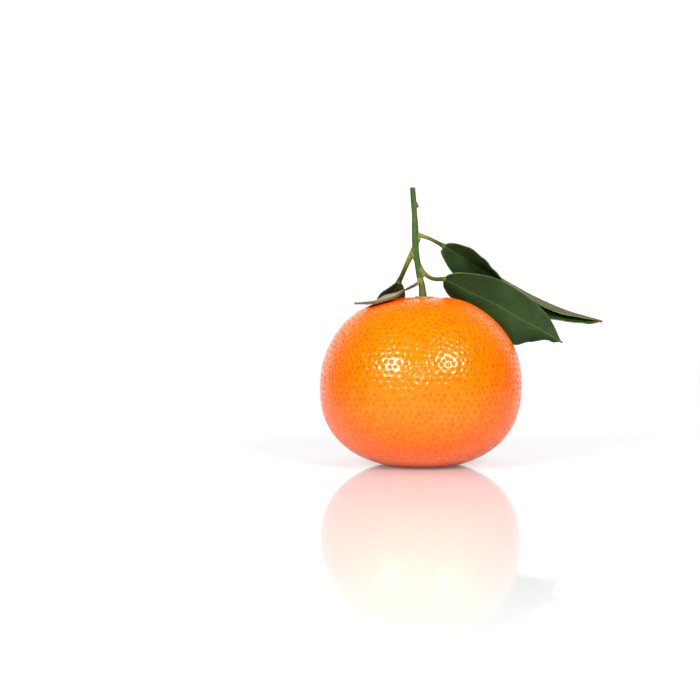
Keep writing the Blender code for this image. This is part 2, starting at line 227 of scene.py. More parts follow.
def addSoftbox(name, place, size, power, mirrored):
    bpy.ops.object.light_add(type="AREA", location=place, rotation=aimed(place, studio["lightAim"]))
    softbox = bpy.context.object
    softbox.name = name
    softbox.data.size = size
    softbox.data.energy = power
    softbox.visible_glossy = mirrored


def setWorld():
    world = bpy.data.worlds.new("paleSurroundings")
    world.use_nodes = True
    bpy.context.scene.world = world
    bright = studio["surroundings"]
    dim = studio["roomBehindCamera"]
    around = addNode(world, "ShaderNodeTexCoord").outputs["Generated"]
    axes = addNode(world, "ShaderNodeSeparateXYZ", {0: around})
    screen = between(world, axes.outputs["Z"], *studio["screenTop"], bright, dim)
    mirrored = between(world, axes.outputs["Y"], *studio["screenEdge"], dim, screen)
    seen = addNode(world, "ShaderNodeLightPath").outputs["Is Camera Ray"]
    strength = addNode(world, "ShaderNodeMix", {"Factor": seen, "A": mirrored, "B": bright})
    background = world.node_tree.nodes["Background"]
    background.inputs["Color"].default_value = white
    joinSocket(world, strength.outputs["Result"], background.inputs["Strength"])


def setFloor():
    deselectAll()
    bpy.ops.mesh.primitive_plane_add(size=studio["floorSize"], location=(0.0, 0.0, -studio["floorDrop"]))
    floor = bpy.context.object
    floor.name = "paleFloor"
    material, shader = newMaterial("polishedWhite")
    shader.inputs["Base Color"].default_value = (*studio["floorColour"], 1.0)
    shader.inputs["Roughness"].default_value = studio["floorRoughness"]
    shader.inputs["Specular IOR Level"].default_value = studio["floorMirror"]
    shader.inputs["Emission Color"].default_value = white
    shader.inputs["Emission Strength"].default_value = studio["floorGlow"]
    coords = objectCoords(material)
    away = addNode(material, "ShaderNodeVectorMath", {0: coords}, operation="LENGTH").outputs["Value"]
    near, far = studio["floorFade"]
    joinSocket(material, between(material, away, near, far, 1.0, 0.0), shader.inputs["Alpha"])
    floor.data.materials.append(material)


bpy.context.scene.view_settings.view_transform = "Standard"
setCamera()
setWorld()
addSoftbox("keyLeft", studio["keyLeft"], studio["keySize"], studio["keyPower"], True)
addSoftbox("keyRight", studio["keyRight"], studio["keySize"], studio["keyPower"], True)
addSoftbox("topSoft", studio["topPlace"], studio["topSize"], studio["topPower"], False)
addSoftbox("frontFill", studio["fillPlace"], studio["fillSize"], studio["fillPower"], True)
setFloor()
print("studio ready")


# lines that the shoot and the leaf blades follow, in mm

twigLine = [
    (0.72, 0.0, 54.12), (0.6, 0.1, 56.4), (-0.1, 0.2, 59.3), (-0.7, 0.1, 63.0),
    (-1.4, -0.1, 67.5), (-1.6, 0.0, 72.0), (-1.7, 0.3, 76.5), (-2.1, 0.4, 82.5), (-2.5, 0.3, 87.9),
]
stalks = {
    "upper_right": [(-1.2, 0.0, 73.0), (0.6, 0.0, 72.5), (3.1, 0.8, 71.6), (5.3, 1.8, 70.5),
                    (7.4, 3.0, 69.4)],
    "lower_right": [(-0.75, 0.1, 63.6), (1.0, 0.2, 61.0), (2.8, 1.2, 59.5), (5.0, 2.6, 58.8),
                    (7.7, 4.0, 58.8)],
    "back_left": [(-1.7, 0.0, 68.8), (-3.1, 0.6, 66.1), (-4.6, 2.2, 62.7), (-5.7, 4.4, 60.0),
                  (-6.6, 6.5, 58.0)],
    "front_left": [(0.2, 0.0, 59.0), (-0.9, -0.8, 57.6), (-2.2, -1.3, 56.8), (-3.6, -1.6, 56.1),
                   (-5.1, -1.9, 55.4)],
}
midribs = {
    "upper_right": [(13.0, 9.5, 66.2), (19.9, 16.5, 61.6), (28.5, 21.5, 56.6), (37.1, 23.5, 52.25),
                    (49.8, 24.2, 47.2), (60.7, 22.6, 44.5)],
    "lower_right": [(9.9, 5.4, 57.8), (15.3, 9.0, 54.9), (21.4, 11.5, 52.3), (32.1, 13.0, 46.3),
                    (41.3, 13.0, 41.3), (46.5, 12.0, 38.1)],
    "back_left": [(-7.9, 13.5, 54.6), (-9.6, 21.0, 50.9), (-11.0, 27.6, 45.0), (-11.9, 32.0, 38.0),
                  (-12.4, 34.2, 31.0)],
    "front_left": [(-9.1, -3.2, 53.7), (-12.9, -4.6, 52.2), (-16.9, -5.8, 51.5), (-20.9, -6.6, 51.3)],
}
spotsPerSpan = 24
directionReach = 0.4 * mm        # a line's direction is taken over this much each way


def slopeAt(points, index):
    # direction at a point; the shorter neighbouring span counts more
    if index == 0:
        return (points[1] - points[0]).normalized()
    if index == len(points) - 1:
        return (points[-1] - points[-2]).normalized()
    before = points[index] - points[index - 1]
    after = points[index + 1] - points[index]
    weighted = before.normalized() * after.length + after.normalized() * before.length
    return weighted / (before.length + after.length)


def curvePoint(points, position):
    index = min(int(position), len(points) - 2)
    part = position - index
    start = points[index]
    end = points[index + 1]
    span = (end - start).length
    leaving = slopeAt(points, index) * span * part * (1.0 - part) ** 2
    arriving = slopeAt(points, index + 1) * span * part ** 2 * (1.0 - part)
    return start + (end - start) * fade(part, 0.0, 1.0) + leaving - arriving


def lineSpots(rawPoints):
    points = [Vector(point) * mm for point in rawPoints]
    count = (len(points) - 1) * spotsPerSpan
    spots = [curvePoint(points, step / spotsPerSpan) for step in range(count + 1)]
    run = [0.0]
    for before, after in zip(spots, spots[1:]):
        run.append(run[-1] + (after - before).length)
    return spots, run


def leafLine(name):
    # stalk and midrib are one line; the last number is where they meet
    spots, run = lineSpots(stalks[name] + midribs[name])
    return spots, run, run[(len(stalks[name]) - 1) * spotsPerSpan]


def pointAt(spots, run, distance):
    index = 1
    while index < len(run) - 1 and run[index] < distance:
        index += 1
    part = (distance - run[index - 1]) / (run[index] - run[index - 1])
    return spots[index - 1].lerp(spots[index], part)


def directionAt(spots, run, distance):
    ahead = pointAt(spots, run, min(distance + directionReach, run[-1]))
    behind = pointAt(spots, run, max(distance - directionReach, 0.0))
    return (ahead - behind).normalized()


def stepValue(values, share):
    position = share * (len(values) - 1)
    index = min(int(position), len(values) - 2)
    return values[index] + (values[index + 1] - values[index]) * fade(position - index, 0.0, 1.0)


# fruit

peel = {
    # in mm
    "middle": 24.9, "ballRadius": 20.0,      # height of the widest row; radius before the ball is wrapped
    "glandRadius": (0.70, 0.94), "glandDepth": (0.15, 0.27),
    "lumps": ((0.10, 9.0), (0.055, 2.6)),    # height and width
    "endDimple": (0.7, 2.6),                 # depth and radius at the blossom end
    "endHeight": 4.0,                        # the blossom end lies below this
    # painted shade under this leaf, darker red with no shine and full glow: around the first share of the
    # leaf, fading between two distances
    "leafShade": {"leaf": "front_left", "upTo": 0.45, "near": 4.2, "far": 8.0},
    # each corner of the coarse ball becomes a gland; the shake is a share of the ball's radius
    "glandCuts": (2, 2, 1), "finerCuts": 4, "jitter": 0.008, "seed": 11,
    "orange": (0.89, 0.163, 0.0), "yellower": (0.93, 0.215, 0.0), "redder": (0.85, 0.092, 0.001),
    # the last colour here is the painted shade under the leaf
    "upper": (0.90, 0.152, 0.0), "gland": (0.86, 0.080, 0.0), "paintedShade": (0.80, 0.050, 0.001),
    "scar": (0.20, 0.09, 0.03),
    "roughness": (0.11, 0.17), "shine": 0.52, "shineColour": (1.0, 0.84, 0.6),
    "glow": 0.55, "glowDepth": 2.8 * mm, "glowSpread": (1.0, 0.35, 0.1),
    "relief": (1.0, 0.03 * mm), "grainShare": 0.15,      # the finest grain's share of the relief
    "unevenBy": 0.012, "dotSpread": 0.35,    # how much patches shift a height, and tone narrows a dot
    # scale and detail of the noise
    "patchNoise": (70.0, 2.0), "fineNoise": (420.0, 3.0), "grainNoise": (1800.0, 2.0),
    # from, to and how strong; heights are in metres
    # the side band paints shade: redder where the peel turns from view
    "upperBand": (0.030, 0.054, 0.85), "lowerBand": (0.026, 0.002, 0.5), "sideShadeBand": (0.1, 0.5, 0.85),
    "patchBand": (0.35, 0.75, 0.2), "fineBand": (0.35, 0.7, 0.15), "rimBand": (0.75, 1.1, 0.35),
    # this band paints the shade under the leaf
    "paintedShadeBand": (0.0, 1.0, 0.85),
    # from, to and the two values between which the gland's dot fades
    "dotByTone": (0.0, 1.0, 0.58, 0.22), "dotAtSide": (0.1, 0.55, 1.0, 0.4),
    "dotLow": (0.010, 0.032, 0.6, 1.0),
    # from and to
    "dotEdge": (1.0, 0.5), "scarEdge": (0.0022, 0.0012), "scarTop": (0.004, 0.002),
    # the second pair is where the painted shade under the leaf takes away shine and adds glow
    "pitEdge": (0.7, 0.1), "leafShadeEdge": (0.0, 0.8), "roughBand": (0.3, 0.7),
}


def splitAndRound(ball, cuts):
    pick(ball)
    bpy.ops.object.mode_set(mode="EDIT")
    bpy.ops.mesh.select_all(action="SELECT")
    bpy.ops.mesh.subdivide(number_cuts=cuts)
    bpy.ops.object.mode_set(mode="OBJECT")
    for vertex in ball.data.vertices:
        vertex.co = vertex.co.normalized()


def glandBall(name):
    # an even ball of triangles; its corners are the glands and are shaken a little before it is made finer
    deselectAll()
    bpy.ops.mesh.primitive_ico_sphere_add(subdivisions=1, radius=1.0)
    ball = bpy.context.object
    ball.name = name
    for cuts in peel["glandCuts"]:
        splitAndRound(ball, cuts)
    draw = random.Random(peel["seed"])
    sizes = []
    for vertex in ball.data.vertices:
        shake = Vector([draw.gauss(0.0, peel["jitter"]) for _ in range(3)])
        vertex.co = (vertex.co + shake).normalized()
        sizes.append((draw.random(), draw.random()))
    tree = treeOf([vertex.co for vertex in ball.data.vertices])
    splitAndRound(ball, peel["finerCuts"])
    for vertex in ball.data.vertices:
        vertex.co = vertex.co * peel["ballRadius"] * mm + Vector((0.0, 0.0, peel["middle"] * mm))
    return ball, tree, sizes


def wrapOnto(piece, form):
    wrap = piece.modifiers.new("wrap", "SHRINKWRAP")
    wrap.target = form
    wrap.wrap_method = "PROJECT"
    wrap.use_positive_direction = True
    applyModifier(piece, wrap)
    bpy.data.objects.remove(form, do_unlink=True)


def mixed(pair, share):
    return pair[0] + (pair[1] - pair[0]) * share


def pressGlands(fruit, tree, sizes):
    middle = Vector((0.0, 0.0, peel["middle"] * mm))
    edges = []
    tones = []
    moved = []
    for vertex in fruit.data.vertices:
        arm = vertex.co - middle
        reach = arm.length
        _, index, gap = tree.find(arm / reach)
        size, tone = sizes[index]
        radius = mixed(peel["glandRadius"], size) * mm
        depth = mixed(peel["glandDepth"], 0.5 * size + 0.5 * tone) * mm
        edge = gap * reach / radius
        drop = depth * (1.0 - fade(edge, 0.0, 1.0))
        for height, width in peel["lumps"]:
            drop += height * mm * noise.noise(vertex.co / (width * mm))
        moved.append(vertex.co - vertex.normal * drop)
        edges.append(edge)
        tones.append(tone)
    depth, radius = peel["endDimple"]
    for vertex, place in zip(fruit.data.vertices, moved):
        fromAxis = math.hypot(place.x, place.y) / (radius * mm)
        if place.z < peel["endHeight"] * mm:
            place.z = max(place.z, 0.0) + depth * mm * math.exp(-fromAxis ** 2)
        vertex.co = place
    writeAttribute(fruit, "glandEdge", edges)
    writeAttribute(fruit, "glandTone", tones)


def markLeafShade(fruit):
    # painted shade on the peel under the leaf that lies on it, from its stalk up to a share of its length
    leafShade = peel["leafShade"]
    spots, run, joint = leafLine(leafShade["leaf"])
    reach = joint + (run[-1] - joint) * leafShade["upTo"]
    tree = treeOf([spot for spot, distance in zip(spots, run) if distance < reach])
    paintedShade = []
    for vertex in fruit.data.vertices:
        gap = tree.find(vertex.co)[2] / mm
        paintedShade.append(1.0 - fade(gap, leafShade["near"], leafShade["far"]))
    writeAttribute(fruit, "leafShade", paintedShade)


def peelTones(material, height, patches, fine, turned):
    # redder at the sides as painted shade where the peel turns from view; redder low down and in patches,
    # less yellow towards the top, a little yellower in fine spots
    uneven = maths(material, "ADD", height, maths(material, "MULTIPLY", patches, peel["unevenBy"]))
    # painted shade: redder where the peel turns from view
    sideShade = strengthOf(material, turned, peel["sideShadeBand"])
    colour = mixColour(material, sideShade, peel["orange"], peel["redder"])
    colour = mixColour(material, strengthOf(material, uneven, peel["upperBand"]), colour, peel["upper"])
    colour = mixColour(material, strengthOf(material, height, peel["lowerBand"]), colour, peel["redder"])
    colour = mixColour(material, strengthOf(material, patches, peel["patchBand"]), colour, peel["redder"])
    return mixColour(material, strengthOf(material, fine, peel["fineBand"]), colour, peel["yellower"])


def drawGlands(material, colour, edge, height, turned):
    # redder dots with yellower rims; the dots show less at the sides and low down
    rim = strengthOf(material, edge, peel["rimBand"])
    colour = mixColour(material, rim, colour, peel["yellower"])
    tone = attribute(material, "glandTone")
    spread = maths(material, "ADD", edge, maths(material, "MULTIPLY", tone, peel["dotSpread"]))
    depth = between(material, tone, *peel["dotByTone"])
    depth = maths(material, "MULTIPLY", depth, between(material, turned, *peel["dotAtSide"]))
    depth = maths(material, "MULTIPLY", depth, between(material, height, *peel["dotLow"]))
    dot = maths(material, "MULTIPLY", between(material, spread, *peel["dotEdge"]), depth)
    return mixColour(material, dot, colour, peel["gland"])


def endScar(material, coords, height):
    # the small mark in the middle of the blossom end
    level = addNode(material, "ShaderNodeVectorMath", {0: coords, 1: (1.0, 1.0, 0.0)}, operation="MULTIPLY")
    fromAxis = addNode(material, "ShaderNodeVectorMath", {0: level.outputs[0]}, operation="LENGTH")
    inside = between(material, fromAxis.outputs["Value"], *peel["scarEdge"])
    return maths(material, "MULTIPLY", inside, between(material, height, *peel["scarTop"]))


def peelMaterial():
    material, shader = newMaterial("waxyPeel")
    coords = objectCoords(material)
    height = addNode(material, "ShaderNodeSeparateXYZ", {0: coords}).outputs["Z"]
    patches = noiseValue(material, coords, *peel["patchNoise"])
    fine = noiseValue(material, coords, *peel["fineNoise"])
    grain = noiseValue(material, coords, *peel["grainNoise"])
    turned = turnedAway(material)
    edge = attribute(material, "glandEdge")
    leafShade = attribute(material, "leafShade")
    colour = peelTones(material, height, patches, fine, turned)
    colour = drawGlands(material, colour, edge, height, turned)
    colour = mixColour(material, endScar(material, coords, height), colour, peel["scar"])
    # painted shade under the front-left leaf: darker red colour, with no shine and full glow there
    colour = mixColour(material, strengthOf(material, leafShade, peel["paintedShadeBand"]), colour, peel["paintedShade"])
    joinSocket(material, colour, shader.inputs["Base Color"])
    roughness = between(material, fine, *peel["roughBand"], *peel["roughness"])
    joinSocket(material, roughness, shader.inputs["Roughness"])
    glow = between(material, leafShade, *peel["leafShadeEdge"], peel["glow"], 1.0)
    joinSocket(material, glow, shader.inputs["Subsurface Weight"])
    shader.inputs["Subsurface Radius"].default_value = peel["glowSpread"]
    shader.inputs["Subsurface Scale"].default_value = peel["glowDepth"]
    shine = between(material, leafShade, *peel["leafShadeEdge"], peel["shine"], 0.0)
    joinSocket(material, shine, shader.inputs["Specular IOR Level"])
    shader.inputs["Specular Tint"].default_value = (*peel["shineColour"], 1.0)
    pit = between(material, edge, *peel["pitEdge"])
    relief = maths(material, "SUBTRACT", maths(material, "MULTIPLY", grain, peel["grainShare"]), pit)
    bump(material, shader, relief, *peel["relief"])
    return material


def makeFruit():
    form = mergedCopy("fruit", "fruitForm")
    smoothPiece(form, levels=2)
    fruit, tree, sizes = glandBall("mandarinFruit")
    wrapOnto(fruit, form)
    pressGlands(fruit, tree, sizes)
    markLeafShade(fruit)
    pick(fruit)
    bpy.ops.object.shade_smooth()
    fruit.data.materials.append(peelMaterial())
    finishPiece(fruit, "fruit")


makeFruit()
print("fruit ready")


# leaf blades

blade = {
    # in mm
    "ribAtTip": 0.42, "ribHalfWidth": 0.6, "ribGroove": 0.06, "tipHalfWidth": 0.25, "fromStalk": 0.1,
    "veinPitch": 3.3, "veinGroove": 0.02, "quilt": 0.05, "quiltAway": (0.4, 2.0), "bounceGreenAway": (0.0, 2.5),
    "ribEdge": (0.24, 0.08), "marginEdge": (0.2, 0.05), "veinsEnd": (0.2, 2.0),
    # shares, slopes and counts
    "ribToStalk": 1.75, "ribTaper": 0.8, "lobeReach": 0.06, "lobeBend": 1.5, "bounceGreenAlong": (0.1, 0.4),
    "veinSlant": 0.85, "veinArch": 0.03, "grooveWidth": 0.09, "veinEdge": (0.075, 0.0), "wobble": 0.3,
    "acrossHalf": 14, "along": 150,
    "sharpAngle": 60.0,                      # in degrees; what meets more sharply is shown as an edge
    "columns": [0.0, 0.1, 0.25, 0.44, 0.64, 0.83, 1.0],          # how far out each value of a bending holds
    "green": (0.0125, 0.0335, 0.0065), "lighterGreen": (0.0225, 0.051, 0.0115),
    # the first colour here is painted green that cancels the fruit's orange bounce light near a blade's foot
    "bounceGreen": (0.003, 0.052, 0.008), "veinGreen": (0.038, 0.070, 0.016),
    "rib": (0.065, 0.105, 0.022), "margin": (0.09, 0.15, 0.026),
    "under": (0.078, 0.077, 0.038), "underPale": (0.112, 0.107, 0.060), "underRib": (0.14, 0.135, 0.072),
    "cream": (0.34, 0.31, 0.17), "brown": (0.115, 0.048, 0.018), "cutEdge": (0.20, 0.20, 0.07),
    # how strongly each line shows on the top and on the underside, and how pale a pallid place gets
    "topShares": {"net": 0.22, "side": 0.25, "rib": 0.6, "margin": 0.7},
    "underShares": {"net": 0.3, "side": 0.6, "rib": 1.0, "margin": 0.6},
    "pallorShare": 0.85, "netRelief": -0.5, "underNetRelief": 0.6,
    "roughness": (0.5, 0.62), "underRoughness": 0.6, "edgeRoughness": 0.5,
    "shine": 0.15, "glow": 0.2, "glowDepth": 0.6 * mm, "glowSpread": (0.45, 1.0, 0.15),
    "relief": (0.5, 0.06 * mm),
    # scale and detail of the noise, and the stretch of it that is used
    "topNoise": (160.0, 4.0), "underNoise": (200.0, 4.0), "patchBand": (0.3, 0.7),
    "edgeNoise": (500.0, 2.0), "edgeBand": (0.4, 0.7), "wobbleNoise": (300.0, 2.0),
    "netScale": 1100.0, "netEdge": (0.10, 0.0),
}
creased = [0.0, 0.45, 0.85, 1.0, 1.0, 1.0, 1.0]
curled = [0.1, 0.3, 0.5, 0.7, 0.9, 1.1, 1.2]
flat = [1.0] * 7
leaves = {
    "upper_right": {
        "halfWidths": (8.0, 8.0), "outlines": ((0.6, 0.75), (0.55, 0.68)), "pointing": 30,
        "lobes": (0.5, 1.4),
        "turns": ([25, 45, 65, 81, 94, 100, 106, 111, 114, 108, 92],
                  [5, 4, 4, 6, 12, 25, 42, 56, 62, 63, 10]),
        "bending": creased, "wave": 0.25, "waves": 3.0, "stalkEnd": 0.74, "thickness": 0.3, "dryFrom": 0.93,
    },
    "lower_right": {
        "halfWidths": (7.8, 9.8), "outlines": ((0.56, 0.6), (0.74, 0.7)), "pointing": 11, "lobes": (0.4, 0.4),
        "turns": ([14, 14, 14, 14, 13, 12, 10, 8, 6, 5, 5],
                  [-20, -62, -66, -60, -54, -46, -26, -8, -48, -77, 0]),
        "bending": curled, "wave": 0.25, "waves": 3.5, "stalkEnd": 0.72, "thickness": 0.3, "dryFrom": 0.95,
        # how strongly green is painted against the fruit's orange bounce light, near the foot of one half
        "bounceGreenFoot": 0.85,
    },
    "back_left": {
        "halfWidths": (4.4, 4.2), "outlines": ((0.42, 0.6), (0.65, 0.6)), "pointing": 12, "lobes": (0.4, 0.0),
        "turns": ([16, 8, 6, 6, 6, 6], [20, 12, 8, 8, 8, 8]),
        "bending": creased, "wave": 0.25, "waves": 2.5, "stalkEnd": 0.82, "thickness": 0.3, "dryFrom": 0.95,
    },
    "front_left": {
        "halfWidths": (4.2, 4.4), "outlines": ((0.6, 1.0), (0.6, 1.0)), "pointing": 12, "lobes": (0.0, 0.0),
        "turns": ([-92, -97, -92, -90], [92, 97, 92, 90]),
        "bending": flat, "wave": 0.15, "waves": 2.0, "stalkEnd": 0.4, "thickness": 0.64,
        "dryFrom": 0.25, "dryRims": (0.0, 0.7), "pallor": (0.3, 1.0, 1.0, 0.9),
    },
}


def widthShare(share, basePower, tipPower, pointing):
    if share <= 0.0 or share >= 1.0:
        return 0.0
    widest = basePower / (basePower + tipPower)
    width = (share / widest) ** basePower * ((1.0 - share) / (1.0 - widest)) ** tipPower
    return width * (1.0 - share ** pointing)


def bendAt(bending, reach):
    columns = blade["columns"]
    index = 1
    while index < len(columns) - 1 and columns[index] < reach:
        index += 1
    part = (reach - columns[index - 1]) / (columns[index] - columns[index - 1])
    return bending[index - 1] + (bending[index] - bending[index - 1]) * part


def veinPhase(along, away, side):
    # whole numbers are side veins; they leave the midrib slanting and arch towards the tip
    slant = blade["veinSlant"] * away + blade["veinArch"] * away * away
    return (along - slant) / blade["veinPitch"] + (0.5 if side > 0 else 0.0)


def halfRow(leaf, index, share, along, travel, out, front):
    # places (from the midrib) of one half of a row, with what the materials need to know there
    side = (1, -1)[index]
    outline = widthShare(share, *leaf["outlines"][index], leaf["pointing"])
    narrowest = stepValue([leaf["stalkEnd"], blade["tipHalfWidth"]], share)
    width = max(leaf["halfWidths"][index] * outline, narrowest)
    turn = stepValue(leaf["turns"][index], share)
    wave = leaf["wave"] * math.sin(math.tau * leaf["waves"] * share + side) * math.sin(math.pi * share)
    lobeRise = fade(share, 0.0, blade["lobeReach"] / 3) * (1.0 - fade(share, 0.0, blade["lobeReach"] * 3))
    lobe = leaf["lobes"][index] * lobeRise
    count = blade["acrossHalf"]
    place = Vector((0.0, 0.0, 0.0))
    row = []
    for step in range(1, count + 1):
        reach = step / count
        angle = math.radians(turn * bendAt(leaf["bending"], reach - 0.5 / count))
        direction = out * side * math.cos(angle) + front * math.sin(angle)
        place = place + direction * width * mm / count
        angle = math.radians(turn * bendAt(leaf["bending"], reach))
        normal = front * math.cos(angle) - out * side * math.sin(angle)
        away = width * reach
        phase = veinPhase(along / mm, away, side)
        near = abs(phase - round(phase))
        quilt = blade["quilt"] * math.sin(math.pi * near) * fade(away, *blade["quiltAway"])
        groove = blade["veinGroove"] * math.exp(-(near / blade["grooveWidth"]) ** 2)
        relief = wave * reach ** 2 + quilt - groove
        spot = place + normal * relief * mm - travel * lobe * mm * reach ** blade["lobeBend"]
        row.append((spot, normal, away, width - away, phase))
    return row


def leafRows(name):
    leaf = leaves[name]
    spots, run, joint = leafLine(name)
    start = joint + blade["fromStalk"] * mm
    rows = []
    # the rows stand closer together near both ends
    for station in range(blade["along"] + 1):
        share = 0.5 - 0.5 * math.cos(math.pi * station / blade["along"])
        along = (run[-1] - start) * share
        centre = pointAt(spots, run, start + along)
        travel = directionAt(spots, run, start + along)
        front = Vector((0.0, -1.0, 0.0))
        front = (front - travel * front.dot(travel)).normalized()
        out = front.cross(travel).normalized()
        left = halfRow(leaf, 0, share, along, travel, out, front)
        right = halfRow(leaf, 1, share, along, travel, out, front)
        ribNormal = (left[0][1] + right[0][1]).normalized()
        width = min(left[-1][2], right[-1][2])
        middle = (Vector((0.0, 0.0, 0.0)), ribNormal, 0.0, width, veinPhase(along / mm, 0.0, -1))
        whole = list(reversed(left)) + [middle] + right
        rows.append((share, centre, whole))
    return rows


def thicknessAt(leaf, share, nearRib):
    flesh = leaf["thickness"]
    ribs = [leaf["stalkEnd"] * blade["ribToStalk"], max(blade["ribAtTip"], flesh)]
    rib = stepValue(ribs, share ** blade["ribTaper"])
    return flesh + (rib - flesh) * nearRib


def placeFacts(leaf, share, column, away, margin, phase):
    # what the materials need to know at one place of a blade
    dryRim = leaf.get("dryRims", (0.0, 0.0))[0 if column < blade["acrossHalf"] else 1]
    atRim = 1.0 - fade(margin, 0.0, dryRim) if dryRim else 0.0
    # painted green against the fruit's orange bounce light, on one half near the foot and away from the
    # midrib
    bounceGreen = leaf.get("bounceGreenFoot", 0.0) if column > blade["acrossHalf"] else 0.0
    bounceGreen *= (1.0 - fade(share, *blade["bounceGreenAlong"])) * fade(away, *blade["bounceGreenAway"])
    return {
        "ribDistance": away, "marginDistance": margin, "veinPhase": phase,
        "dryness": max(fade(share, leaf["dryFrom"], 1.0), atRim),
        "pallor": stepValue(leaf.get("pallor", (0.0, 0.0)), share),
        "bounceGreenShare": bounceGreen,
    }


def growBlade(name):
    # a flat grid is laid out in the blade's rows, and then gets its thickness
    leaf = leaves[name]
    rows = leafRows(name)
    across = 2 * blade["acrossHalf"]
    deselectAll()
    bpy.ops.mesh.primitive_grid_add(x_subdivisions=across, y_subdivisions=blade["along"], size=2.0)
    piece = bpy.context.object
    piece.name = "blade_" + name
    group = piece.vertex_groups.new(name="thickness")
    facts = []
    for vertex in piece.data.vertices:
        column = round((vertex.co.x + 1.0) / 2.0 * across)
        station = round((vertex.co.y + 1.0) / 2.0 * blade["along"])
        share, centre, whole = rows[station]
        spot, normal, away, margin, phase = whole[column]
        nearRib = math.exp(-(away / blade["ribHalfWidth"]) ** 2)
        lift = leaf["thickness"] / 2 - blade["ribGroove"] * nearRib
        vertex.co = centre + spot + normal * lift * mm
        group.add([vertex.index], thicknessAt(leaf, share, nearRib) / 2.0, "REPLACE")
        facts.append(placeFacts(leaf, share, column, away, margin, phase))
    # a weight is half of the thickness in mm, so the full thickness is 2 mm
    solid = piece.modifiers.new("thickness", "SOLIDIFY")
    solid.thickness = 2.0 * mm
    solid.offset = -1.0
    solid.vertex_group = "thickness"
    solid.material_offset = 1
    solid.material_offset_rim = 2
    for material in bladeMaterials:
        piece.data.materials.append(material)
    applyModifier(piece, solid)
    for key in facts[0]:
        # the grid's vertices come first, then their twins on the underside
        values = [fact[key] for fact in facts]
        writeAttribute(piece, key, values + values)
    bpy.ops.object.shade_smooth_by_angle(angle=math.radians(blade["sharpAngle"]))
    finishPiece(piece, "leaf_" + name)


def veinMasks(material, coords):
    phase = attribute(material, "veinPhase")
    toRib = attribute(material, "ribDistance")
    toMargin = attribute(material, "marginDistance")
    uneven = noiseValue(material, coords, *blade["wobbleNoise"])
    wobble = maths(material, "MULTIPLY", uneven, blade["wobble"])
    near = maths(material, "PINGPONG", maths(material, "ADD", phase, wobble), 0.5)
    inside = between(material, toMargin, *blade["veinsEnd"])
    side = maths(material, "MULTIPLY", between(material, near, *blade["veinEdge"]), inside)
    rib = between(material, toRib, *blade["ribEdge"])
    margin = between(material, toMargin, *blade["marginEdge"])
    return side, rib, margin


def finestNet(material, coords):
    # net of the smallest veins
    net = addNode(material, "ShaderNodeTexVoronoi", {"Vector": coords, "Scale": blade["netScale"]},
                  feature="DISTANCE_TO_EDGE")
    return between(material, net.outputs["Distance"], *blade["netEdge"])


def drawVeins(material, colour, coords, shares, veinColour, ribColour):
    # the net, the side veins, the midrib, the pale margin and what is dry, one over the other
    side, rib, margin = veinMasks(material, coords)
    net = finestNet(material, coords)
    lines = (
        (net, shares["net"], veinColour), (side, shares["side"], veinColour),
        (rib, shares["rib"], ribColour), (margin, shares["margin"], blade["margin"]),
    )
    for line, share, tone in lines:
        colour = mixColour(material, maths(material, "MULTIPLY", line, share), colour, tone)
    colour = mixColour(material, attribute(material, "dryness"), colour, blade["brown"])
    return colour, net, side


def leafSkin(shader):
    # a weak shine, and a little light that comes through from behind
    shader.inputs["Specular IOR Level"].default_value = blade["shine"]
    shader.inputs["Subsurface Weight"].default_value = blade["glow"]
    shader.inputs["Subsurface Radius"].default_value = blade["glowSpread"]
    shader.inputs["Subsurface Scale"].default_value = blade["glowDepth"]


def bladeTopMaterial():
    material, shader = newMaterial("leafTop")
    coords = objectCoords(material)
    patches = noiseValue(material, coords, *blade["topNoise"])
    lighter = between(material, patches, *blade["patchBand"])
    colour = mixColour(material, lighter, blade["green"], blade["lighterGreen"])
    # painted green that cancels the fruit's orange bounce light near the foot
    colour = mixColour(material, attribute(material, "bounceGreenShare"), colour, blade["bounceGreen"])
    colour, net, _ = drawVeins(material, colour, coords, blade["topShares"], blade["veinGreen"],
                               blade["rib"])
    joinSocket(material, colour, shader.inputs["Base Color"])
    roughness = between(material, patches, *blade["patchBand"], *blade["roughness"])
    joinSocket(material, roughness, shader.inputs["Roughness"])
    leafSkin(shader)
    relief = maths(material, "ADD", maths(material, "MULTIPLY", net, blade["netRelief"]), patches)
    bump(material, shader, relief, *blade["relief"])
    return material


def bladeUnderMaterial():
    material, shader = newMaterial("leafUnderside")
    coords = objectCoords(material)
    patches = noiseValue(material, coords, *blade["underNoise"])
    paler = between(material, patches, *blade["patchBand"])
    colour = mixColour(material, paler, blade["under"], blade["underPale"])
    pallor = maths(material, "MULTIPLY", attribute(material, "pallor"), blade["pallorShare"])
    colour = mixColour(material, pallor, colour, blade["cream"])
    colour, net, side = drawVeins(material, colour, coords, blade["underShares"], blade["underRib"],
                                  blade["underRib"])
    joinSocket(material, colour, shader.inputs["Base Color"])
    shader.inputs["Roughness"].default_value = blade["underRoughness"]
    leafSkin(shader)
    relief = maths(material, "ADD", maths(material, "MULTIPLY", net, blade["underNetRelief"]), side)
    bump(material, shader, relief, *blade["relief"])
    return material


def bladeEdgeMaterial():
    material, shader = newMaterial("leafMargin")
    coords = objectCoords(material)
    patches = noiseValue(material, coords, *blade["edgeNoise"])
    dull = between(material, patches, *blade["edgeBand"])
    colour = mixColour(material, dull, blade["margin"], blade["cutEdge"])
    colour = mixColour(material, attribute(material, "dryness"), colour, blade["brown"])
    joinSocket(material, colour, shader.inputs["Base Color"])
    shader.inputs["Roughness"].default_value = blade["edgeRoughness"]
    return material


bladeMaterials = [bladeTopMaterial(), bladeUnderMaterial(), bladeEdgeMaterial()]
for name in leaves:
    growBlade(name)
print("leaf blades ready")


# shoot: twig, leaf stalks and buds

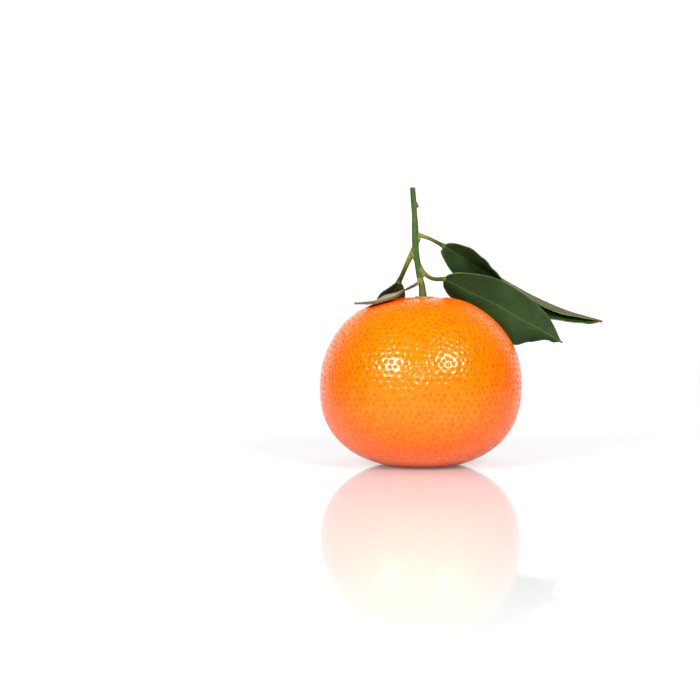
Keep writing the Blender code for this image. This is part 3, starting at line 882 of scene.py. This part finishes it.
shoot = {
    # in mm
    "stalkEnds": {"upper_right": 0.84, "lower_right": 0.84, "back_left": 0.94, "front_left": 0.42},
    "flare": {"place": (0.76, 0.0, 54.05), "lower": 1.3, "upper": 1.1, "height": 1.5},
    "buds": [(-0.5, -0.35, 71.4), (1.0, 0.0, 60.3), (-2.2, -0.3, 66.0), (-0.5, -0.6, 58.6),
             (-1.35, 0.3, 81.9)],
    "cell": 0.11,                # the twig, its stalks and knuckles are fused in cells of this size
    "grain": 0.02, "lowerGreenTo": (56.0, 62.0), "budReach": (0.4, 0.85), "cutDepth": (0.16, 0.02),
    "grainScale": (2.4, 2.4, 0.5),           # for each mm; the grain is drawn out upwards
    "knuckleLength": 0.85,       # share of its width
    "soften": (0.5, 4),          # how strongly and how often
    "blended": 10,               # nearest spots whose colours are mixed
    # shares of a stalk: the stretch that is painted, and where its colours change
    "stalkPainted": (0.12, 1.08), "yellowTo": (0.2, 0.75), "ownFrom": (0.2, 0.6), "ringFrom": (0.9, 0.97),
    "yellowShare": 0.8, "budShare": 0.65,    # how strongly these colours show
    "green": (0.038, 0.084, 0.010), "lowerGreen": (0.062, 0.084, 0.013),
    "stalkGreen": (0.044, 0.062, 0.007), "stalkYellow": (0.17, 0.195, 0.014),
    "ownStalk": {"front_left": (0.050, 0.044, 0.018)},
    "ring": (0.12, 0.12, 0.022), "bud": (0.18, 0.13, 0.03), "cutWood": (0.55, 0.36, 0.18),
    # the darkest tone is painted shade at the twig's edges
    "darker": 0.62, "edgeShade": 0.42, "lighter": 1.4, "lighterPurity": 0.85,      # of the painted colour
    "roughness": (0.42, 0.58), "shine": 0.15, "relief": (0.5, 0.05 * mm),
    # scale, detail and roughness of the noise, and the stretch of it that is used
    "streakNoise": (2600.0, 3.0, 0.6), "streakStretch": (1.0, 1.0, 0.16), "streakBand": (0.35, 0.68),
    "patchNoise": (350.0, 3.0), "plainBand": (0.35, 0.65, 0.15, 0.75), "roughBand": (0.3, 0.7),
    # the side band paints shade with the darkest tone where the twig turns from view
    "speckScale": 900.0, "speckBand": (0.22, 0.1, 0.22), "sideShadeBand": (0.3, 0.85, 0.8),
}


def addKnuckle(name):
    # swollen ring where the stalk ends and the blade begins
    spots, run, joint = leafLine(name)
    radius = shoot["stalkEnds"][name] * mm
    turn = directionAt(spots, run, joint).to_track_quat("Z", "Y").to_euler()
    bpy.ops.mesh.primitive_uv_sphere_add(segments=24, ring_count=14, radius=radius, rotation=turn,
                                         location=pointAt(spots, run, joint),
                                         scale=(1.0, 1.0, shoot["knuckleLength"]))
    return bpy.context.object


def addFlare():
    flare = shoot["flare"]
    bpy.ops.mesh.primitive_cone_add(vertices=32, radius1=flare["lower"] * mm, radius2=flare["upper"] * mm,
                                    depth=flare["height"] * mm, location=Vector(flare["place"]) * mm)
    return bpy.context.object


def stalkMarks(name):
    # yellowish where the stalk leaves the twig, and its ring's colour where the blade begins
    spots, run, joint = leafLine(name)
    first, last = shoot["stalkPainted"]
    marks = []
    for spot, distance in zip(spots, run):
        share = distance / joint
        if share < first or share > last:
            continue
        yellow = (1.0 - fade(share, *shoot["yellowTo"])) * shoot["yellowShare"]
        colour = Vector(shoot["stalkGreen"]).lerp(Vector(shoot["stalkYellow"]), yellow)
        if name in shoot["ownStalk"]:
            colour = colour.lerp(Vector(shoot["ownStalk"][name]), fade(share, *shoot["ownFrom"]))
        colour = colour.lerp(Vector(shoot["ring"]), fade(share, *shoot["ringFrom"]))
        marks.append((spot, colour))
    return marks


def shootMarks():
    # spots along the twig and the stalks, each with its colour
    marks = []
    lowest, highest = shoot["lowerGreenTo"]
    for spot in lineSpots(twigLine)[0]:
        lower = 1.0 - fade(spot.z, lowest * mm, highest * mm)
        colour = Vector(shoot["green"]).lerp(Vector(shoot["lowerGreen"]), lower)
        marks.append((spot, colour))
    for name in stalks:
        marks.extend(stalkMarks(name))
    return marks


def paintShoot(piece):
    marks = shootMarks()
    tree = treeOf([spot for spot, _ in marks])
    top = Vector(twigLine[-1]) * mm
    cutFrom, cutTo = shoot["cutDepth"]
    paint = piece.data.color_attributes.new("shootPaint", "FLOAT_COLOR", "POINT")
    colours = []
    for vertex in piece.data.vertices:
        found = tree.find_n(vertex.co, shoot["blended"])
        colour = Vector((0.0, 0.0, 0.0))
        for _, index, _ in found:
            colour += marks[index][1] / len(found)
        for centre in shoot["buds"]:
            gap = (vertex.co - Vector(centre) * mm).length / mm
            near = 1.0 - fade(gap, *shoot["budReach"])
            colour = colour.lerp(Vector(shoot["bud"]), near * shoot["budShare"])
        end = fade(vertex.co.z, top.z - cutFrom * mm, top.z - cutTo * mm)
        colour = colour.lerp(Vector(shoot["cutWood"]), end)
        colours.extend((*colour, 1.0))
    paint.data.foreach_set("color", colours)


def otherTone(material, colour, brightness, purity=1.0):
    made = addNode(material, "ShaderNodeHueSaturation", {"Value": brightness, "Saturation": purity,
                                                         "Color": colour})
    return made.outputs["Color"]


def shootMaterial():
    material, shader = newMaterial("greenShoot")
    coords = objectCoords(material)
    paint = addNode(material, "ShaderNodeVertexColor", layer_name="shootPaint").outputs["Color"]
    drawn = stretched(material, coords, shoot["streakStretch"])
    streaks = noiseValue(material, drawn, *shoot["streakNoise"])
    patches = noiseValue(material, coords, *shoot["patchNoise"])
    darker = otherTone(material, paint, shoot["darker"])
    edgeShade = otherTone(material, paint, shoot["edgeShade"])
    lighter = otherTone(material, paint, shoot["lighter"], shoot["lighterPurity"])
    colour = mixColour(material, between(material, streaks, *shoot["streakBand"]), darker, lighter)
    colour = mixColour(material, between(material, patches, *shoot["plainBand"]), colour, paint)
    specks = addNode(material, "ShaderNodeTexVoronoi", {"Vector": coords, "Scale": shoot["speckScale"]})
    speck = strengthOf(material, specks.outputs["Distance"], shoot["speckBand"])
    colour = mixColour(material, speck, colour, shoot["stalkYellow"])
    # painted shade: darker where the twig turns from view
    sideShade = strengthOf(material, turnedAway(material), shoot["sideShadeBand"])
    colour = mixColour(material, sideShade, colour, edgeShade)
    joinSocket(material, colour, shader.inputs["Base Color"])
    roughness = between(material, patches, *shoot["roughBand"], *shoot["roughness"])
    joinSocket(material, roughness, shader.inputs["Roughness"])
    shader.inputs["Specular IOR Level"].default_value = shoot["shine"]
    bump(material, shader, streaks, *shoot["relief"])
    return material


def makeShoot():
    piece = mergedCopy("twig", "leafyTwig")
    deselectAll()
    parts = [addKnuckle(name) for name in stalks] + [addFlare()]
    for part in parts:
        part.select_set(True)
    piece.select_set(True)
    bpy.context.view_layer.objects.active = piece
    bpy.ops.object.join()
    remesh = piece.modifiers.new("fuse", "REMESH")
    remesh.mode = "VOXEL"
    remesh.voxel_size = shoot["cell"] * mm
    applyModifier(piece, remesh)
    smooth = piece.modifiers.new("soften", "SMOOTH")
    smooth.factor, smooth.iterations = shoot["soften"]
    applyModifier(piece, smooth)
    moved = []
    for vertex in piece.data.vertices:
        place = vertex.co / mm
        stretchedPlace = Vector([value * scale for value, scale in zip(place, shoot["grainScale"])])
        fine = noise.noise(stretchedPlace)
        moved.append(vertex.co + vertex.normal * shoot["grain"] * mm * fine)
    for vertex, place in zip(piece.data.vertices, moved):
        vertex.co = place
    paintShoot(piece)
    pick(piece)
    bpy.ops.object.shade_smooth()
    piece.data.materials.append(shootMaterial())
    finishPiece(piece, "twig")


makeShoot()
print("shoot ready")


# calyx

button = {
    # in mm
    "middle": (1.0, 0.0), "radius": 2.8, "sink": 0.45, "wrinkle": 0.08, "curl": 0.1, "flatten": 0.4,
    "upperBand": (-0.3, 0.2),                # about the middle height; what lies above it is shaped
    # shares, scales and counts
    "footFacing": -0.5,                      # faces that look down more than this are the foot
    "wrinkles": (5.0, 2.0),                  # how closely they follow each other, around and outwards
    "curlFrom": (0.7, 1.1), "curls": 3.0,    # shares of the radius, and how many places curl up
    "curlTurn": 0.7,                         # turns those places around the middle
    "tan": (0.50, 0.25, 0.05), "greyer": (0.25, 0.18, 0.11), "darker": (0.17, 0.09, 0.03),
    "greenish": (0.30, 0.27, 0.06), "roughness": 0.75, "relief": (0.6, 0.1 * mm),
    # scale, detail and roughness of the noise, and the stretch of it that is used
    "patchNoise": (900.0, 4.0, 0.6), "fineNoise": (4200.0, 2.0),
    "darkBand": (0.35, 0.65, 0.5), "greenBand": (0.5, 0.7, 0.5), "greyAcross": (0.002, -0.001),
}


def calyxMaterial():
    material, shader = newMaterial("dryCalyx")
    coords = objectCoords(material)
    patches = noiseValue(material, coords, *button["patchNoise"])
    fine = noiseValue(material, coords, *button["fineNoise"])
    across = addNode(material, "ShaderNodeSeparateXYZ", {0: coords}).outputs["X"]
    colour = mixColour(material, between(material, across, *button["greyAcross"]), button["tan"],
                       button["greyer"])
    colour = mixColour(material, strengthOf(material, patches, button["darkBand"]), colour, button["darker"])
    colour = mixColour(material, strengthOf(material, fine, button["greenBand"]), colour, button["greenish"])
    joinSocket(material, colour, shader.inputs["Base Color"])
    shader.inputs["Roughness"].default_value = button["roughness"]
    bump(material, shader, patches, *button["relief"])
    return material


def sinkFoot(piece):
    # the foot goes a little into the fruit
    bpy.ops.object.mode_set(mode="EDIT")
    bpy.ops.mesh.select_all(action="DESELECT")
    bpy.ops.object.mode_set(mode="OBJECT")
    for polygon in piece.data.polygons:
        polygon.select = polygon.normal.z < button["footFacing"]
    bpy.ops.object.mode_set(mode="EDIT")
    bpy.ops.transform.translate(value=(0.0, 0.0, -button["sink"] * mm))
    bpy.ops.mesh.select_all(action="DESELECT")
    bpy.ops.object.mode_set(mode="OBJECT")


def makeCalyx():
    piece = mergedCopy("calyx", "calyxButton")
    heights = [vertex.co.z for vertex in piece.data.vertices]
    split = (min(heights) + max(heights)) / 2
    sinkFoot(piece)
    smoothPiece(piece, levels=3)
    shapeFrom, shapeTo = button["upperBand"]
    aroundScale, outwardScale = button["wrinkles"]
    for vertex in piece.data.vertices:
        x = vertex.co.x / mm - button["middle"][0]
        y = vertex.co.y / mm - button["middle"][1]
        reach = math.hypot(x, y) / button["radius"]
        around = math.atan2(y, x)
        wrinkle = noise.noise(Vector((around * aroundScale, reach * outwardScale, 0.0)))
        wrinkle *= button["wrinkle"] * reach
        lifted = 0.5 + 0.5 * math.sin(button["curls"] * around + button["curlTurn"])
        curl = button["curl"] * fade(reach, *button["curlFrom"]) * lifted
        upper = fade(vertex.co.z, split + shapeFrom * mm, split + shapeTo * mm)
        vertex.co.z += (wrinkle + curl - button["flatten"]) * upper * mm
    pick(piece)
    bpy.ops.object.shade_smooth()
    piece.data.materials.append(calyxMaterial())
    finishPiece(piece, "calyx")


makeCalyx()
print("calyx ready")
